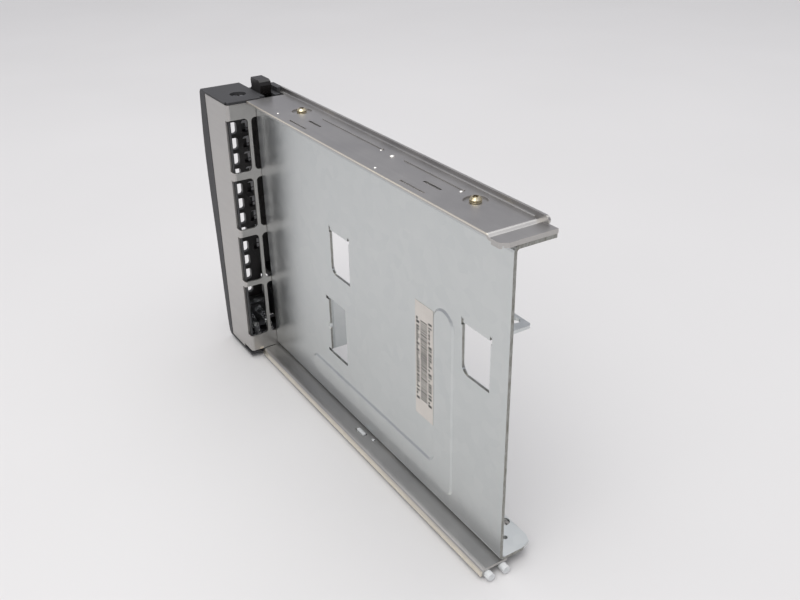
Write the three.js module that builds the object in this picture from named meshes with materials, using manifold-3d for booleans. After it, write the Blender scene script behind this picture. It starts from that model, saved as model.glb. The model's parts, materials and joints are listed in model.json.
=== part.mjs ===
// Hot-swap drive tray for a 3.5 inch bay, fitted with the converter plate that takes a 2.5 inch drive.
// Millimetres, +Z up. The tray stands on its long side: +X is the end that goes into the chassis,
// -X the bezel, and +Y the side where the drive lies. While it is modelled, x = 0 is the rear face of
// the front wall, y = 0 the outer face of the converter plate and z = 0 the plate's lower edge.
import * as THREE from 'three';
import { mergeVertices } from 'three/addons/utils/BufferGeometryUtils.js';
import Module from 'manifold-3d';

const wasm = await Module();
wasm.setup();

// ---- driving dimensions -------------------------------------------------------------------------
const DRIVE_WIDTH = 101.6; // width of a 3.5 inch drive, and so of the converter plate
const SMALL_DRIVE_EDGE = 71.3; // height of the side tabs that the 2.5 inch drive lies against
const SMALL_DRIVE_PITCH = 76.6; // distance between a 2.5 inch drive's side holes
const SCREW_PITCH = 101.6; // distance between the tray's side screws
const SHEET = 1.0; // sheet of the plate
const BEND = 1.3; // bend radius at the middle of the sheet

const PLATE_LENGTH = 150.75;
const UPPER_FLANGE_DEPTH = 13.6;
const LOWER_FLANGE_DEPTH = 13.1;
const PLATE_FRONT = 0.3;

const RAIL_TOP = 103.7;
const RAIL_REAR = 150.7;
const RAIL_NEAR = -3.65;
const RAIL_FAR = 13.9;
const RAIL_SHEET = 0.8;
const RAIL_LIP_TOP = 105.2;
const RAIL_LIP_FRONT = -5;
const RAIL_LIP_REAR = 147.7;
const LEAD_IN_START = 144.2;
const LEAD_IN_RUN = 1.0;
const LEAD_IN_DROP = 0.75;
const SCREW_FRONT_X = 23.8;
const SCREW_REAR_X = SCREW_FRONT_X + SCREW_PITCH;
const SCREW_Y = 7.1;

const LOWER_LIP_REAR = 138;
const LOWER_WEB_TOP = -0.1;
const LOWER_WEB = 0.8;
const LOWER_NEAR = -6.9;
const LOWER_NEAR_BOTTOM = -2.4;
const BASE_Z = -3.6;

const WALL = 0.8;
const WALL_NEAR = -11.3;
const WALL_FAR = 14.3;
const WALL_TOP = 103;
const STRIP_FRONT = -20.7;
const WINDOW_ROWS = [[6.8, 29.6], [31.6, 51], [54, 74.2], [77.1, 97.3]];

const BEZEL_NEAR = -11.4;
const BEZEL_FAR = 14.5;
const BEZEL_TOP = 104;
const BEZEL_BOTTOM = -2.3;
const BEZEL_REAR = -1.3;
const BEZEL_PANEL_FRONT = -24.2;
const BEZEL_PANEL_REAR = -21.5;
const BEZEL_HALF = 4.4; // y where the fixed half of the bezel ends and the lever begins

const GRILLE_PITCH = 6.35;
const GRILLE_HOLE = 4.7;
const GRILLE_FIRST_ROW = 17.5;
const GRILLE_ROWS = 12;
const GRILLE_NEAR_COLUMN = -8.25;
const GRILLE_FAR_COLUMN = 4.9; // it opens towards the lever's flange

const PIVOT = { x: -19.5, z: 97.5 };
const HUB = 3.2;
const PIN = 1.2;
const LEVER_NEAR = 4.7;
const ARM_FAR = 12.9;
const LEVER_BOTTOM = 21;
const LEVER_INNER = -24.5;
const CLAW_NEAR = 4.6;
const CLAW_FAR = 9.0;
const CLAW_TOP = 108.6;

const UNDER_WEB = LOWER_WEB_TOP - LOWER_WEB - 0.1; // what sits under the lower rail's web begins here
const PIPE = 1.3;
const PIPE_Z = -2.3;
const PIPE_OUTER_Y = -4.4;
const PIPE_INNER_Y = 1.2;
const PIPE_REAR = 152.8;
const PIPE_LENS_Z = 7;

// ---- materials ----------------------------------------------------------------------------------
const material = (color, roughness, metalness) =>
  new THREE.MeshStandardMaterial({ color, roughness, metalness });
const galvanised = material('#a4aaa9', 0.38, 0.9);
const zincPlated = material('#8b8a90', 0.42, 0.9);
const blackPlastic = material('#4b4b4e', 0.5, 0);
const darkPlastic = material('#161616', 0.45, 0);
const screwSteel = material('#c9b98f', 0.25, 1);
const springSteel = material('#b9bbbd', 0.25, 1);
const clearAcrylic = material('#e9eef0', 0.08, 0);
const labelPaper = material('#d9d5c9', 0.75, 0);

// ---- solids and meshes --------------------------------------------------------------------------
function solid(geometry) {
  const bare = geometry.index ? geometry.toNonIndexed() : geometry.clone();
  bare.deleteAttribute('normal');
  bare.deleteAttribute('uv');
  const merged = mergeVertices(bare, 1e-4);
  const mesh = new wasm.Mesh({
    numProp: 3,
    vertProperties: new Float32Array(merged.attributes.position.array),
    triVerts: new Uint32Array(merged.index.array),
  });
  return new wasm.Manifold(mesh);
}

function mesh(name, body, look) {
  const data = body.getMesh();
  const geometry = new THREE.BufferGeometry();
  const corners = new Float32Array(data.vertProperties);
  geometry.setAttribute('position', new THREE.BufferAttribute(corners, 3));
  geometry.setIndex(new THREE.BufferAttribute(new Uint32Array(data.triVerts), 1));
  geometry.computeVertexNormals();
  const result = new THREE.Mesh(geometry, look);
  result.name = name;
  return result;
}

const joined = (bodies) => bodies.reduce((sum, body) => sum.add(body));
const cut = (body, tools) => tools.reduce((rest, tool) => rest.subtract(tool), body);

// A box between two corners.
function box(x0, x1, y0, y1, z0, z1) {
  const geometry = new THREE.BoxGeometry(x1 - x0, y1 - y0, z1 - z0);
  geometry.translate((x0 + x1) / 2, (y0 + y1) / 2, (z0 + z1) / 2);
  return solid(geometry);
}

// Prisms: the outline is drawn in the two other axes, and extruded between two coordinates.
const AXES = {
  x: new THREE.Matrix4().set(0, 0, 1, 0, 1, 0, 0, 0, 0, 1, 0, 0, 0, 0, 0, 1),
  y: new THREE.Matrix4().set(1, 0, 0, 0, 0, 0, -1, 0, 0, 1, 0, 0, 0, 0, 0, 1),
  z: new THREE.Matrix4(),
};

// An outline as straight edges, without the points that coincide where its lines and arcs meet.
const apart = (points) => points.filter((point, index) => {
  const next = points[(index + 1) % points.length];
  return point.distanceTo(next) > 1e-3;
});

function straightened(outline, curveSegments) {
  const { shape, holes } = outline.extractPoints(curveSegments);
  const result = new THREE.Shape(apart(shape));
  result.holes = holes.map((hole) => new THREE.Path(apart(hole)));
  return result;
}

function prism(axis, outline, from, to, curveSegments = 5) {
  const shape = straightened(outline, curveSegments);
  const geometry = new THREE.ExtrudeGeometry(shape, { depth: to - from, bevelEnabled: false });
  geometry.translate(0, 0, axis === 'y' ? -to : from);
  geometry.applyMatrix4(AXES[axis]);
  return solid(geometry);
}

const polygon = (points) => new THREE.Shape(points.map(([u, v]) => new THREE.Vector2(u, v)));

function roundedRectangle(u0, u1, v0, v1, radius) {
  const shape = new THREE.Shape();
  shape.moveTo(u0 + radius, v0);
  shape.lineTo(u1 - radius, v0);
  shape.absarc(u1 - radius, v0 + radius, radius, -Math.PI / 2, 0);
  shape.lineTo(u1, v1 - radius);
  shape.absarc(u1 - radius, v1 - radius, radius, 0, Math.PI / 2);
  shape.lineTo(u0 + radius, v1);
  shape.absarc(u0 + radius, v1 - radius, radius, Math.PI / 2, Math.PI);
  shape.lineTo(u0, v0 + radius);
  shape.absarc(u0 + radius, v0 + radius, radius, Math.PI, Math.PI * 1.5);
  return shape;
}

const roundedBox = (axis, u0, u1, v0, v1, radius, from, to, segments = 3) =>
  prism(axis, roundedRectangle(u0, u1, v0, v1, radius), from, to, segments);

// A round bar along one axis, at the two other coordinates in the order of the prism's outline.
function rod(axis, u, v, radius, from, to, sides = 20) {
  const shape = new THREE.Shape();
  for (let side = 0; side < sides; side += 1) {
    const angle = (side / sides) * Math.PI * 2;
    const point = [u + radius * Math.cos(angle), v + radius * Math.sin(angle)];
    if (side === 0) shape.moveTo(...point);
    else shape.lineTo(...point);
  }
  return prism(axis, shape, from, to);
}

// The outline of a folded sheet, from the corners of its middle line.
function foldedSheet(corners, thickness, radius, segments = 4) {
  const left = [];
  const right = [];
  const put = (point, direction) => {
    const normal = new THREE.Vector2(-direction.y, direction.x).multiplyScalar(thickness / 2);
    left.push(point.clone().add(normal));
    right.push(point.clone().sub(normal));
  };
  const points = corners.map(([u, v]) => new THREE.Vector2(u, v));
  const heading = (index) => points[index + 1].clone().sub(points[index]).normalize();
  put(points[0], heading(0));
  for (let index = 1; index < points.length - 1; index += 1) {
    const before = heading(index - 1);
    const after = heading(index);
    const turn = Math.atan2(before.cross(after), before.dot(after));
    const setback = radius * Math.tan(Math.abs(turn) / 2);
    const start = points[index].clone().addScaledVector(before, -setback);
    const inward = new THREE.Vector2(-before.y, before.x).multiplyScalar(Math.sign(turn) * radius);
    const centre = start.clone().add(inward);
    for (let step = 0; step <= segments; step += 1) {
      const angle = (turn * step) / segments;
      const origin = new THREE.Vector2();
      const outward = inward.clone().rotateAround(origin, angle).negate();
      put(centre.clone().add(outward), before.clone().rotateAround(origin, angle));
    }
  }
  put(points[points.length - 1], heading(points.length - 2));
  return new THREE.Shape([...left, ...right.reverse()]);
}

// ---- converter plate ----------------------------------------------------------------------------
const TAB_A_X = 60;
const TAB_C_X = TAB_A_X + SMALL_DRIVE_PITCH;
const TAB_HALF = 6.4;
const TAB_LENGTH = 13.6;
const TAB_SIDE = TAB_HALF + 0.4;
const TAB_CORNER = 1.3;
const TAB_TOP = SMALL_DRIVE_EDGE + SHEET;
const SMALL_HOLE_Y = 11.1;
const SMALL_HOLE_SHIFT = 2.2; // from a tab's middle to its hole
const CLEARANCE_HOLE = 1.7; // radius of an M3 clearance hole
const WINDOW_DROP = 16.4;
const STOP_X = 49.6;
const EMBOSS = 0.45; // how far it stands out towards the near side
const EMBOSS_SLOPE = 0.7;

// A window with its lower front corner rounded, and two relief notches beside the tab's bend.
function tabWindow(x) {
  const low = SMALL_DRIVE_EDGE - WINDOW_DROP;
  const shape = new THREE.Shape();
  shape.moveTo(x - TAB_HALF + 3, low);
  shape.lineTo(x + TAB_HALF, low);
  shape.lineTo(x + TAB_HALF, SMALL_DRIVE_EDGE);
  shape.lineTo(x - TAB_HALF, SMALL_DRIVE_EDGE);
  shape.lineTo(x - TAB_HALF, low + 3);
  shape.absarc(x - TAB_HALF + 3, low + 3, 3, Math.PI, Math.PI * 1.5);
  const notch = (side) => box(x + side - 0.5, x + side + 0.5, -1, 2, SMALL_DRIVE_EDGE - 1, TAB_TOP + 0.6);
  return joined([prism('y', shape, -1, 2), notch(-TAB_HALF), notch(TAB_HALF)]);
}

// The tab that the window leaves, bent towards the drive, with its screw hole.
function sideTab(x) {
  const middle = SMALL_DRIVE_EDGE + SHEET / 2;
  const bend = foldedSheet([[SHEET / 2, middle + 1.9], [SHEET / 2, middle], [TAB_LENGTH, middle]], SHEET, 1);
  const strip = prism('x', bend, x - TAB_SIDE, x + TAB_SIDE);
  const outline = roundedRectangle(x - TAB_SIDE, x + TAB_SIDE, -4, TAB_LENGTH, TAB_CORNER);
  const tip = prism('z', outline, SMALL_DRIVE_EDGE - 1, TAB_TOP + 3);
  const holeX = x + SMALL_HOLE_SHIFT;
  const hole = rod('z', holeX, SMALL_HOLE_Y, CLEARANCE_HOLE, SMALL_DRIVE_EDGE - 1, TAB_TOP + 1);
  return strip.intersect(tip).subtract(hole);
}

// The front stop of the small drive: its window and the tab that stands square to it.
const STOP_LOW = 22.4;
const STOP_HIGH = 44;
const stopWindow = () => joined([
  roundedBox('y', STOP_X + 0.4, 62, 21, STOP_HIGH, 0.8, -1, 2),
  box(STOP_X - 1.6, STOP_X + 1, -1, 2, STOP_HIGH - 1.2, STOP_HIGH),
  box(STOP_X - 1.6, STOP_X + 1, -1, 2, STOP_LOW - 1.2, STOP_LOW),
]);

function stopTab() {
  const bend = foldedSheet([[STOP_X - 2.4, 0.5], [STOP_X, 0.5], [STOP_X, 11.5]], SHEET, 1);
  const sheet = prism('z', bend, STOP_LOW, STOP_HIGH - 1.2);
  const middle = (STOP_LOW + STOP_HIGH - 1.2) / 2;
  const web = polygon([[STOP_X + 0.3, 0.3], [STOP_X + 0.3, 3.2], [STOP_X - 2.5, 0.3]]);
  return sheet.add(prism('z', web, middle - 1, middle + 1));
}

// The dimple that is pressed into the stop's bend from outside.
function stopDimple() {
  const ball = new THREE.SphereGeometry(1.7, 18, 12);
  ball.translate(STOP_X + 0.9, -0.75, (STOP_LOW + STOP_HIGH) / 2 - 1);
  return solid(ball);
}

// The L-shaped stiffening emboss: an upright leg with a round top and a leg along the lower edge.
function embossOutline() {
  const shape = new THREE.Shape();
  shape.moveTo(126, 9.5);
  shape.lineTo(126, 65.8);
  shape.absarc(121.2, 65.8, 4.8, 0, Math.PI);
  shape.lineTo(116.4, 17);
  shape.absarc(113.4, 17, 3, 0, -Math.PI / 2, true);
  shape.lineTo(38.5, 14);
  shape.absarc(38.5, 10.25, 3.75, Math.PI / 2, Math.PI * 1.5);
  shape.lineTo(123, 6.5);
  shape.absarc(123, 9.5, 3, -Math.PI / 2, 0);
  return shape;
}

// The emboss as a solid whose sides slope over EMBOSS_SLOPE until the given near face is reached.
function emboss(near, far) {
  const geometry = new THREE.ExtrudeGeometry(straightened(embossOutline(), 8), {
    depth: far - near - EMBOSS, bevelEnabled: true, bevelThickness: EMBOSS, bevelSize: EMBOSS_SLOPE,
    bevelOffset: -EMBOSS_SLOPE / 2, bevelSegments: 1,
  });
  geometry.translate(0, 0, -far);
  geometry.applyMatrix4(AXES.y);
  return solid(geometry).intersect(box(0, PLATE_LENGTH, near, far, 0, DRIVE_WIDTH));
}

// What is trimmed off the lower flange's rear corner.
function flangeCorner() {
  const rear = PLATE_LENGTH;
  const depth = LOWER_FLANGE_DEPTH;
  return polygon([[rear + 2, 8.5], [rear, 8.5], [rear - 1.3, 12], [rear - 4, depth], [rear - 4, depth + 2],
    [rear + 2, depth + 2]]);
}

function converterPlate() {
  const top = DRIVE_WIDTH - SHEET / 2;
  const low = SHEET / 2;
  const corners = [[UPPER_FLANGE_DEPTH, top], [SHEET / 2, top], [SHEET / 2, low], [LOWER_FLANGE_DEPTH, low]];
  const outline = foldedSheet(corners, SHEET, BEND);
  const screwHole = (x) => rod('z', x, SCREW_Y, CLEARANCE_HOLE, -2, DRIVE_WIDTH + 2);
  const lowerHole = (x, y, radius) => rod('z', x, y, radius, -2, 3);
  const smallHole = (x) => lowerHole(x + SMALL_HOLE_SHIFT, SMALL_HOLE_Y, CLEARANCE_HOLE);
  const blank = cut(prism('x', outline, PLATE_FRONT, PLATE_LENGTH), [
    tabWindow(TAB_A_X), tabWindow(TAB_C_X), stopWindow(), prism('z', flangeCorner(), -2, 3),
    screwHole(SCREW_FRONT_X), screwHole(SCREW_REAR_X), smallHole(TAB_A_X), smallHole(TAB_C_X),
    lowerHole(PLATE_LENGTH - 6.3, 6.9, 0.8), emboss(SHEET - EMBOSS, SHEET + 2),
  ]);
  const raised = emboss(-EMBOSS, SHEET / 2);
  return joined([blank, sideTab(TAB_A_X), sideTab(TAB_C_X), stopTab(), raised]).subtract(stopDimple());
}

// ---- tray: front wall and rails -----------------------------------------------------------------
const WINDOW_COLUMNS = [[-12, -3.6], [-2.3, 4.8], [7.4, 13.1]]; // the first one runs out through the bend

function frontWall() {
  const middle = (value) => value - Math.sign(value) * (WALL / 2);
  const near = middle(WALL_NEAR);
  const far = middle(WALL_FAR);
  const corners = [[STRIP_FRONT, near], [-WALL / 2, near], [-WALL / 2, far], [STRIP_FRONT, far]];
  const folded = prism('z', foldedSheet(corners, WALL, 0.7, 3), 0, WALL_TOP);
  const window = (y0, y1, z0, z1) => roundedBox('x', y0, y1, z0, z1, 1.6, -WALL - 2, 1);
  const windows = WINDOW_ROWS.flatMap(([z0, z1]) => WINDOW_COLUMNS.map(([y0, y1]) => window(y0, y1, z0, z1)));
  const farRelief = box(STRIP_FRONT - 1, -WALL - 1.5, 12, 16, 91, WALL_TOP + 1);
  const lipRelief = box(-3, 1, RAIL_FAR - 2.2, 16, RAIL_TOP - 2, WALL_TOP + 1);
  const topTab = box(-WALL, 9, 8.6, 12.3, WALL_TOP - 1.2, WALL_TOP - 0.4);
  const strip = box(STRIP_FRONT, -8, WALL_NEAR, WALL_NEAR + WALL, -1.3, 1);
  return joined([cut(folded, [...windows, farRelief, lipRelief]), topTab, strip]);
}

// A screw seat: the web is dished down to the flange below it.
const SEAT_RADIUS = 3.5;
const SEAT_TOP = RAIL_TOP - 0.5;
const seat = (x) => rod('z', x, SCREW_Y, SEAT_RADIUS + 0.5, SEAT_TOP - RAIL_SHEET, SEAT_TOP, 28);
const seatCut = (x) => rod('z', x, SCREW_Y, SEAT_RADIUS, SEAT_TOP, RAIL_TOP + 1, 28);
const seatHole = (x, radius) => rod('z', x, SCREW_Y, radius, RAIL_TOP - 3, RAIL_TOP + 1);

// A stamped spring tab: two slits along the rail and a short crosswise slit at their rear end.
function tabSlits(x) {
  return [
    roundedBox('z', x, x + 12.5, -1.6, -0.9, 0.3, RAIL_TOP - 2, RAIL_TOP + 1, 2),
    roundedBox('z', x + 4.6, x + 13, 3.4, 4.3, 0.4, RAIL_TOP - 2, RAIL_TOP + 1, 2),
  ];
}

const bead = (x0, x1) => roundedBox('z', x0, x1, 8.4, 9.2, 0.35, RAIL_TOP - 0.2, RAIL_TOP + 0.25, 3);

// The web steps down smoothly at the rear end, to lead the tray into its guide.
function leadIn() {
  const high = RAIL_TOP - RAIL_SHEET / 2;
  const low = high - LEAD_IN_DROP;
  const start = LEAD_IN_START;
  const slope = [[start - 2, high], [start, high], [start + LEAD_IN_RUN, low], [RAIL_REAR, low]];
  const web = prism('y', foldedSheet(slope, RAIL_SHEET, 0.8, 5), RAIL_NEAR, RAIL_FAR);
  const inner = RAIL_NEAR + RAIL_SHEET;
  const edge = roundedBox('x', RAIL_NEAR, inner, low - 1.25, low + 0.2, 0.3, start + 2, RAIL_REAR);
  const end = box(RAIL_REAR - RAIL_SHEET, RAIL_REAR, RAIL_NEAR + 0.5, RAIL_FAR, DRIVE_WIDTH + 0.03, low);
  const corner = polygon([[RAIL_REAR - 1.6, RAIL_NEAR], [RAIL_REAR, RAIL_NEAR + 2.2],
    [RAIL_REAR + 1, RAIL_NEAR + 2.2], [RAIL_REAR + 1, RAIL_NEAR - 1], [RAIL_REAR - 1.6, RAIL_NEAR - 1]]);
  return joined([web, edge, end]).subtract(prism('z', corner, low - 2, RAIL_TOP));
}

// What the lip's rounded rear corner leaves free.
function lipCorner() {
  const radius = 1.3;
  const shape = new THREE.Shape();
  shape.moveTo(RAIL_LIP_REAR + 1, RAIL_LIP_TOP - radius);
  shape.lineTo(RAIL_LIP_REAR, RAIL_LIP_TOP - radius);
  shape.absarc(RAIL_LIP_REAR - radius, RAIL_LIP_TOP - radius, radius, 0, Math.PI / 2);
  shape.lineTo(RAIL_LIP_REAR - radius, RAIL_LIP_TOP + 1);
  shape.lineTo(RAIL_LIP_REAR + 1, RAIL_LIP_TOP + 1);
  return prism('y', shape, RAIL_FAR - RAIL_SHEET - 0.5, RAIL_FAR + 1);
}

function upperRail() {
  const middle = RAIL_TOP - RAIL_SHEET / 2;
  const far = RAIL_FAR - RAIL_SHEET / 2;
  const corners = [[RAIL_NEAR, middle], [far, middle], [far, RAIL_LIP_TOP]];
  const low = RAIL_TOP - 4;
  const seats = [SCREW_FRONT_X, SCREW_REAR_X];
  const body = cut(prism('x', foldedSheet(corners, RAIL_SHEET, 0.9), RAIL_LIP_FRONT, RAIL_LIP_REAR), [
    box(RAIL_LIP_FRONT - 1, 0.3, RAIL_NEAR - 1, RAIL_FAR - 2, low, RAIL_TOP + 1),
    box(RAIL_LIP_FRONT - 1, 0.3, RAIL_FAR - 2.5, RAIL_FAR + 1, low, RAIL_TOP - 1),
    box(LEAD_IN_START - 1.5, RAIL_LIP_REAR + 1, RAIL_NEAR - 1, RAIL_FAR - RAIL_SHEET, low, RAIL_TOP + 1),
    lipCorner(), ...tabSlits(31), ...tabSlits(101),
    ...seats.map(seatCut), ...seats.map((x) => seatHole(x, 3)),
  ]);
  const whole = joined([body, leadIn(), ...seats.map(seat)]);
  return joined([cut(whole, seats.map((x) => seatHole(x, 1.55))), bead(36.3, 75.8), bead(87.9, 118.1)]);
}

const CLIP_X = [22, 73, 138];
const CLIP_HALF = 3;

function lowerRail() {
  const middle = LOWER_WEB_TOP - LOWER_WEB / 2;
  const near = LOWER_NEAR + LOWER_WEB / 2;
  const far = RAIL_FAR - LOWER_WEB / 2;
  const corners = [[near, LOWER_NEAR_BOTTOM], [near, middle], [far, middle], [far, BASE_Z]];
  const outline = foldedSheet(corners, LOWER_WEB, 1.5, 5);
  const headSlot = roundedBox('z', CLIP_X[1] - 3, CLIP_X[1] + 3, -2.9, -0.9, 0.6, -2, 1, 2);
  const screwHole = (x) => rod('z', x, SCREW_Y, 1.8, -3, 1);
  return cut(prism('x', outline, 0.3, RAIL_REAR), [
    box(RAIL_LIP_REAR, RAIL_REAR + 1, 2.8, RAIL_FAR + 1, -5, 1),
    box(LOWER_LIP_REAR, RAIL_REAR + 1, RAIL_FAR - 2.5, RAIL_FAR + 1, -5, 1),
    screwHole(SCREW_FRONT_X), screwHole(SCREW_REAR_X), headSlot,
    rod('z', CLIP_X[1] + 6.6, -0.9, 0.75, -2, 1, 12),
  ]);
}

// ---- bezel --------------------------------------------------------------------------------------
// The curved front, bulging most a third of the way down from the hinge end.
const BEZEL_PROFILE = [[-23.9, -1.3], [-25.0, 8], [-26.2, 38], [-27.7, 66], [-27.7, 84], [-26.0, 102.6]];
const bezelCurve = new THREE.SplineCurve(BEZEL_PROFILE.map(([x, z]) => new THREE.Vector2(x, z)));

function frontOutline(rear) {
  const shape = new THREE.Shape();
  shape.moveTo(rear, BEZEL_BOTTOM);
  shape.lineTo(-22.6, BEZEL_BOTTOM);
  shape.lineTo(-23.9, -1.3);
  bezelCurve.getPoints(18).slice(1).forEach((point) => shape.lineTo(point.x, point.y));
  shape.lineTo(-24.8, BEZEL_TOP);
  shape.lineTo(rear, BEZEL_TOP);
  return shape;
}

function bezelFrame() {
  const outer = prism('y', frontOutline(BEZEL_REAR), BEZEL_NEAR, BEZEL_FAR);
  const cavity = box(BEZEL_PANEL_REAR, 2, -9.9, 13.2, -1.1, BEZEL_TOP - 2);
  const grilleBay = box(-30, 2, -9.9, 13.2, 13, 93.3);
  const panelRecess = box(-30, BEZEL_PANEL_FRONT, -9.9, BEZEL_HALF, -1.1, BEZEL_TOP - 1.6);
  const leverBay = box(-30, BEZEL_PANEL_FRONT, BEZEL_HALF, 16, -0.4, BEZEL_TOP + 1);
  const hubBay = box(-30, 2, BEZEL_HALF, 13.2, 92, BEZEL_TOP + 1);
  const farTop = box(-30, 2, 13, 16, PIVOT.z, BEZEL_TOP + 1);
  const stripBed = box(STRIP_FRONT - 0.2, 1, BEZEL_NEAR - 1, WALL_NEAR + WALL + 0.1, -1.5, WALL_TOP + 0.15);
  const farBed = box(STRIP_FRONT - 0.2, 1, 13.2, 16, -0.2, 91.2);
  const farRear = box(STRIP_FRONT - 0.2, 1, 13.0, 16, 90.5, BEZEL_TOP + 1);
  const buttonHole = box(-30, BEZEL_PANEL_REAR + 1, 5.4, 12.9, 0.4, 19.4);
  const tongueGap = box(-30, BEZEL_PANEL_REAR + 1, BEZEL_HALF, 13.2, 19.4, 27);
  const pipeSlot = (y) => box(-16.5, 1, y - PIPE - 0.4, y + PIPE + 0.4, -3, 0);
  const lensHole = (y) => rod('x', y, PIPE_LENS_Z, PIPE + 0.3, -30, -20);
  const screwHole = rod('z', -9.5, -2.6, 1.9, BEZEL_TOP - 4, BEZEL_TOP + 1);
  const screwSink = rod('z', -9.5, -2.6, 3.1, BEZEL_TOP - 1.5, BEZEL_TOP + 1, 24);
  const lowerScrewHole = rod('z', -9.5, 8, 1.9, BEZEL_BOTTOM - 1, 2);
  const shell = cut(outer, [cavity, grilleBay, panelRecess, leverBay, hubBay, farTop, stripBed, farBed,
    farRear, buttonHole, tongueGap, pipeSlot(PIPE_OUTER_Y), pipeSlot(PIPE_INNER_Y), lensHole(PIPE_OUTER_Y),
    lensHole(PIPE_INNER_Y), screwHole, screwSink, lowerScrewHole]);
  const topRear = box(BEZEL_REAR - 2, 0.1, BEZEL_NEAR + 0.6, 2.2, WALL_TOP + 0.15, BEZEL_TOP);
  const cheek = (y0, y1) => joined([
    rod('y', PIVOT.x, PIVOT.z, 4.2, y0, y1, 28),
    box(BEZEL_PANEL_FRONT, -15.3, y0, y1, 93.3, PIVOT.z),
  ]);
  const nearCheek = cheek(2.4, 3.9).add(box(BEZEL_PANEL_FRONT, -16, 2.4, 3.9, 96, BEZEL_TOP - 1));
  const nearBrace = box(-23.5, BEZEL_PANEL_REAR, -9.9, 3.9, 93.3, BEZEL_TOP - 1);
  const farCheek = cheek(13.2, BEZEL_FAR).add(box(BEZEL_PANEL_FRONT, -20.95, 13.2, BEZEL_FAR, 80, PIVOT.z));
  const rearRib = box(-23.5, -20.95, 13.2, BEZEL_FAR, 20, 92);
  const farBar = box(-20, -2.8, 13.2, BEZEL_FAR, 93.3, 101.3);
  const clawBacking = joined([
    box(-12, -2.8, 9.4, 13.3, 93.3, 101.3),
    box(-12, -2.8, 9.4, 11.6, 101, 103.3),
    box(-13.5, RAIL_LIP_FRONT - 0.2, 11.5, RAIL_FAR, 101.2, RAIL_LIP_TOP - 0.1),
  ]);
  const pinHole = rod('y', PIVOT.x, PIVOT.z, PIN + 0.15, 0, 16);
  const whole = joined([shell, topRear, nearCheek, nearBrace, farCheek, rearRib, farBar, clawBacking]);
  return whole.subtract(pinHole);
}

function bezelGrille() {
  const left = -9.7;
  const right = 13;
  const step = BEZEL_HALF + 0.2;
  const top = 93.1;
  const corners = [[left, 13.2], [step, 13.2], [step, 27.2], [right, 27.2], [right, top], [left, top]];
  const half = GRILLE_HOLE / 2;
  const hole = (y, z) => roundedBox('x', y - half, y + half, z - half, z + half, 1.0, -25, -21, 2);
  const holes = [];
  for (let row = 0; row < GRILLE_ROWS; row += 1) {
    const z = GRILLE_FIRST_ROW + row * GRILLE_PITCH;
    holes.push(hole(GRILLE_NEAR_COLUMN, z), hole(GRILLE_NEAR_COLUMN + GRILLE_PITCH, z));
    if (z - half > 28) holes.push(hole(GRILLE_FAR_COLUMN, z));
  }
  return cut(prism('x', polygon(corners), -24, -22.2), holes);
}

// ---- lever --------------------------------------------------------------------------------------
function leverHandle() {
  const curve = bezelCurve.getPoints(18).filter((point) => point.y > LEVER_BOTTOM + 1 && point.y < 98);
  const outer = curve.map((point) => [point.x, point.y]);
  const bar = polygon([[LEVER_INNER, LEVER_BOTTOM], [-25.4, LEVER_BOTTOM], ...outer, [-26.2, 100.4],
    [-24.4, 101.4], [-22, 101.4], [LEVER_INNER, 96]]);
  const barBody = prism('y', bar, LEVER_NEAR, BEZEL_FAR);
  const barRelief = box(-24.2, -10, ARM_FAR, 16, 90, 104);
  const armSide = polygon([[-26, 94.6], [PIVOT.x, PIVOT.z - HUB], [PIVOT.x, PIVOT.z + HUB], [-22, 101.4],
    [-25.6, 101.2]]);
  const arm = prism('y', armSide, LEVER_NEAR, ARM_FAR);
  const hub = rod('y', PIVOT.x, PIVOT.z, HUB, LEVER_NEAR, ARM_FAR, 28);
  const clawSide = polygon([[-20, 100.6], [-14.6, 103.4], [-13, 105.2], [-13.4, 107.6], [-12.9, CLAW_TOP],
    [-6.4, CLAW_TOP], [-5.1, 108.0], [-4.6, 106.8], [-5.2, 103.6], [-9, 99], [-15, 95.6], [-19, 94.4]]);
  const claw = prism('y', clawSide, CLAW_NEAR, CLAW_FAR);
  const root = LEVER_INNER - 0.5;
  const tongueSide = [[root, 22.4], [-18.6, 22.4], [-17.4, 21.6], [-16.8, 22.4], [-17.4, 25], [root, 25.6]];
  const tongue = prism('y', polygon(tongueSide), 6.4, 12.2);
  const springBay = rod('y', PIVOT.x, PIVOT.z, HUB + 0.3, 9.2, 11.6, 28);
  const pinHole = rod('y', PIVOT.x, PIVOT.z, PIN + 0.25, 0, 16);
  const fingerPocket = roundedBox('x', 6.6, 12.6, 30, 88, 1.6, -25.8, LEVER_INNER + 1);
  const flange = box(-25, LEVER_INNER + 0.1, 2.7, LEVER_NEAR + 0.3, 28.5, 92.5);
  const body = joined([barBody.subtract(barRelief), arm, hub, claw, tongue, flange]);
  return cut(body, [springBay, pinHole, fingerPocket]);
}

function pivotPin() {
  const shank = rod('y', PIVOT.x, PIVOT.z, PIN, 2.5, 14.3);
  const neck = rod('y', PIVOT.x, PIVOT.z, PIN - 0.35, 1.4, 2);
  const groove = rod('y', PIVOT.x, PIVOT.z, PIN + 1, 1.5, 1.9).subtract(neck);
  const end = rod('y', PIVOT.x, PIVOT.z, PIN, 1.2, 2.6);
  return shank.add(end).subtract(groove);
}

// The open retaining ring on the pin's groove.
function retainingRing() {
  const ring = rod('y', PIVOT.x, PIVOT.z, 1.9, 1.55, 1.85, 24);
  const mouth = box(PIVOT.x - 0.75, PIVOT.x + 0.75, 1, 2.4, PIVOT.z - 3, PIVOT.z);
  return cut(ring, [rod('y', PIVOT.x, PIVOT.z, PIN - 0.2, 1, 2.4), mouth]);
}

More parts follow.
